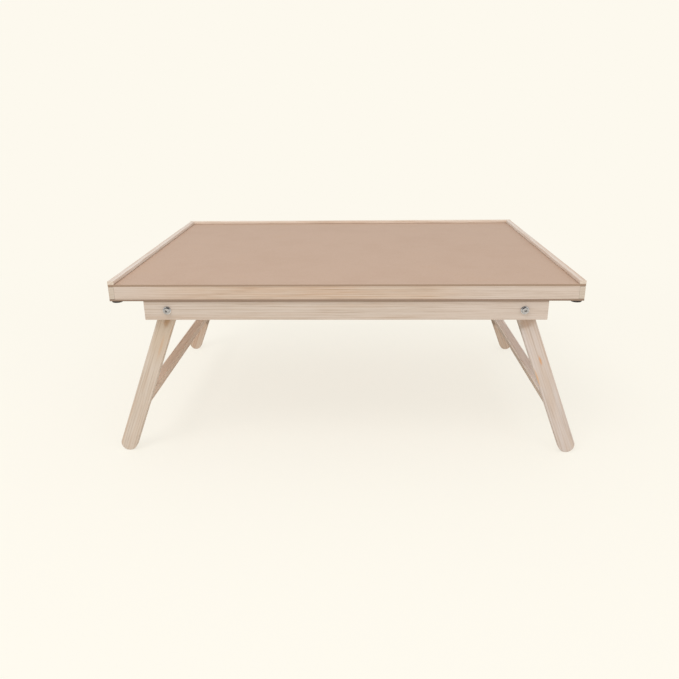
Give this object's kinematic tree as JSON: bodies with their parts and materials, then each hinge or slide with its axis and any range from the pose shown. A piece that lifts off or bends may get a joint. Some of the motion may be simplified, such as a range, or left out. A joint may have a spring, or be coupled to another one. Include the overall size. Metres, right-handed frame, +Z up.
{
  "type": "jigsaw puzzle table with drawers",
  "caption": "Low wooden puzzle table: rimmed hardboard top open at the front, shallow sorting drawers in both short sides, and splayed leg frames that fold flat under the box.",
  "frame": {"origin": "on the floor under the middle of the table, legs open and drawers shut", "axes": "+X along the table's long side to the right-hand drawers, +Y from the open front edge to the rear rim, +Z up"},
  "size_m": [0.8036, 0.5632, 0.3175],
  "materials": {
    "hardboard": "smooth pressed face, matt",
    "pine": "planed, satin",
    "knob_wood": "turned, satin",
    "zinc_steel": "bright zinc plated",
    "rubber": "matt"
  },
  "bodies": {
    "table_box": {"work_surface": "hardboard", "left_rim_rail": "pine", "right_rim_rail": "pine", "rear_rim_rail": "pine", "front_frame_rail": "pine", "rear_frame_rail": "pine", "drawer_divider": "pine", "front_drawer_stop": "pine", "rear_drawer_stop": "pine", "bottom_panel": "hardboard", "front_apron": "pine", "rear_apron": "pine", "corner_pads": "rubber", "pivot_bolts": "zinc_steel", "pivot_washers": "zinc_steel", "pivot_nuts": "zinc_steel"},
    "left_leg_frame": {"left_front_leg": "pine", "left_rear_leg": "pine", "left_stretcher": "pine"},
    "right_leg_frame": {"right_front_leg": "pine", "right_rear_leg": "pine", "right_stretcher": "pine"},
    "left_front_drawer": {"left_front_drawer_front": "pine", "left_front_drawer_front_side": "pine", "left_front_drawer_rear_side": "pine", "left_front_drawer_back": "pine", "left_front_drawer_bottom": "hardboard", "left_front_drawer_knob": "knob_wood"},
    "left_rear_drawer": {"left_rear_drawer_front": "pine", "left_rear_drawer_front_side": "pine", "left_rear_drawer_rear_side": "pine", "left_rear_drawer_back": "pine", "left_rear_drawer_bottom": "hardboard", "left_rear_drawer_knob": "knob_wood"},
    "right_front_drawer": {"right_front_drawer_front": "pine", "right_front_drawer_front_side": "pine", "right_front_drawer_rear_side": "pine", "right_front_drawer_back": "pine", "right_front_drawer_bottom": "hardboard", "right_front_drawer_knob": "knob_wood"},
    "right_rear_drawer": {"right_rear_drawer_front": "pine", "right_rear_drawer_front_side": "pine", "right_rear_drawer_rear_side": "pine", "right_rear_drawer_back": "pine", "right_rear_drawer_bottom": "hardboard", "right_rear_drawer_knob": "knob_wood"}
  },
  "joints": [
    {"name": "left_leg_fold", "type": "hinge", "parent": "table_box", "child": "left_leg_frame", "pos_m": [-0.28949, 0, 0.2675], "axis": [0, -1, 0], "range_deg": [0, 111.2]},
    {"name": "right_leg_fold", "type": "hinge", "parent": "table_box", "child": "right_leg_frame", "pos_m": [0.28949, 0, 0.2675], "axis": [0, 1, 0], "range_deg": [0, 111.2]},
    {"name": "left_front_drawer_slide", "type": "slide", "parent": "table_box", "child": "left_front_drawer", "axis": [-1, 0, 0], "range_m": [0, 0.3]},
    {"name": "left_rear_drawer_slide", "type": "slide", "parent": "table_box", "child": "left_rear_drawer", "axis": [-1, 0, 0], "range_m": [0, 0.3]},
    {"name": "right_front_drawer_slide", "type": "slide", "parent": "table_box", "child": "right_front_drawer", "axis": [1, 0, 0], "range_m": [0, 0.3]},
    {"name": "right_rear_drawer_slide", "type": "slide", "parent": "table_box", "child": "right_rear_drawer", "axis": [1, 0, 0], "range_m": [0, 0.3]}
  ]
}
